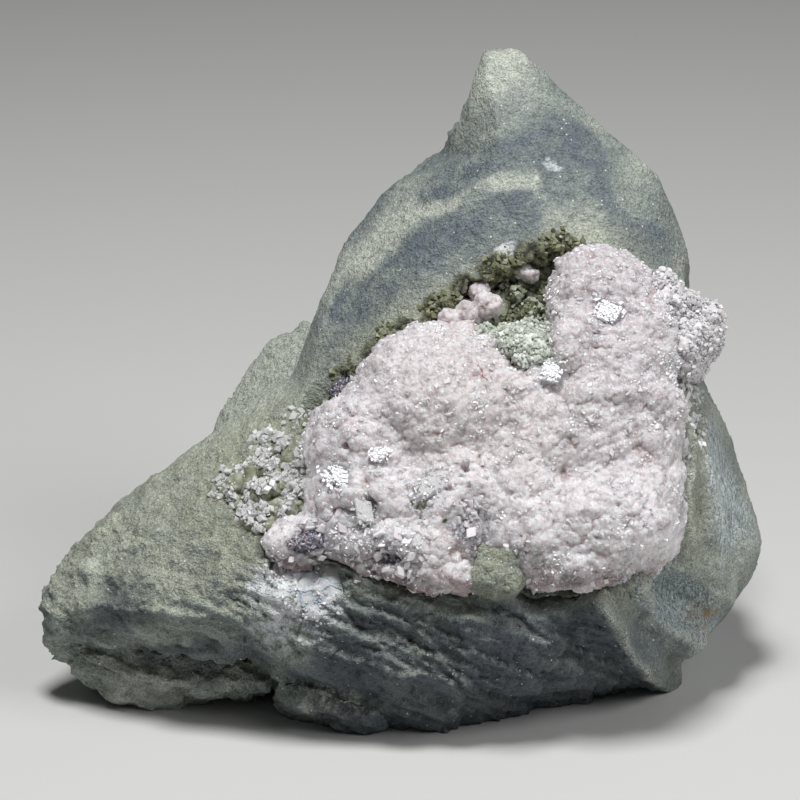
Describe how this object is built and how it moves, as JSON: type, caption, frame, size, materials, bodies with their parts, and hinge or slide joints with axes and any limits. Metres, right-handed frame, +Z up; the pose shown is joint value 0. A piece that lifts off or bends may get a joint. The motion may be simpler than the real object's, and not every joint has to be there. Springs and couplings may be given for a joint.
{
  "type": "rhodochrosite mineral specimen",
  "caption": "Natural mineral specimen: a broken wedge of grey-green rock whose open cavity is lined with drusy crystals and filled by a lumpy pale pink rhodochrosite crust.",
  "frame": {"origin": "on the surface that the rock stands on, below the middle of the bounding box", "axes": "+Z up, +X to the right as seen facing the crust, +Y away from that front"},
  "size_m": [0.091, 0.06, 0.076],
  "materials": {
    "host_rock": "rough broken grey-green rock, olive beside the cavity",
    "rhodochrosite": "sugary translucent pale pink",
    "rhodochrosite_bead": "satin translucent pale pink",
    "olive_druse": "small glassy olive crystals",
    "pale_druse": "small glassy grey-green crystals",
    "white_calcite": "satin white crystals",
    "clear_calcite": "glossy, nearly clear cleaved crystal",
    "sulphide": "dark grey, metallic glints"
  },
  "bodies": {
    "root": {"host_rock": "host_rock", "rhodochrosite_crust": "rhodochrosite", "bead_cluster": "rhodochrosite_bead", "lone_bead": "rhodochrosite_bead", "upper_cavity_druse": "olive_druse", "slot_druse": "olive_druse", "saddle_druse": "pale_druse", "left_druse": "pale_druse", "edge_cluster": "white_calcite", "calcite_patch": "white_calcite", "glinting_crystal_left": "clear_calcite", "glinting_crystal_middle": "clear_calcite", "glinting_crystal_saddle": "clear_calcite", "glinting_crystal_upper": "clear_calcite", "clear_crystal_block": "clear_calcite", "clear_crystal_flake": "clear_calcite", "sulphide_speck_left": "sulphide", "sulphide_speck_middle": "sulphide", "sulphide_speck_slot": "sulphide"}
  },
  "joints": []
}
